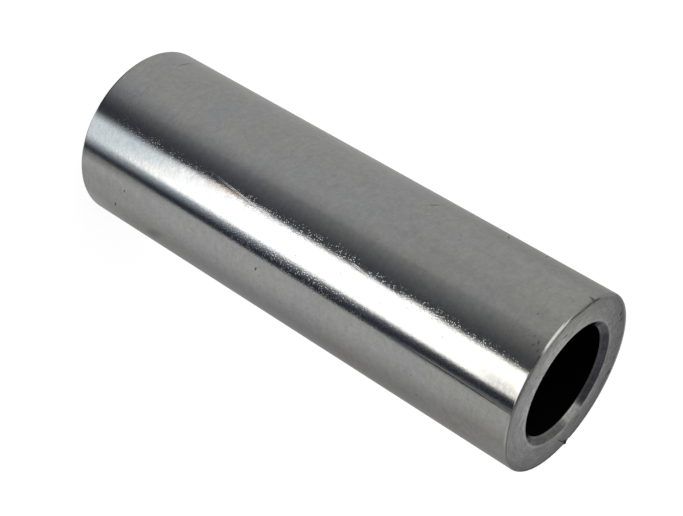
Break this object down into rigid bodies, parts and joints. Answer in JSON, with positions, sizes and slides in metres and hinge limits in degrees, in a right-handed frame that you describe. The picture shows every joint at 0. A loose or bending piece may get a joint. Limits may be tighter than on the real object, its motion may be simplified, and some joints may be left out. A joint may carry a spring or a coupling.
{
  "type": "gudgeon pin",
  "caption": "Hollow ground steel gudgeon pin: a straight round tube that hinges a piston to its connecting rod, with chamfered bore mouths and rounded outer edges.",
  "frame": {"origin": "centre of the lower end face, on the pin's axis", "axes": "+Z along the pin's axis from the lower end face to the upper one; X and Y lie in the lower end face"},
  "size_m": [0.032, 0.032, 0.0945],
  "materials": {
    "pin_steel": "ground and polished outside, turned end faces, dark unfinished bore"
  },
  "bodies": {
    "root": {"gudgeon_pin": "pin_steel"}
  },
  "joints": []
}
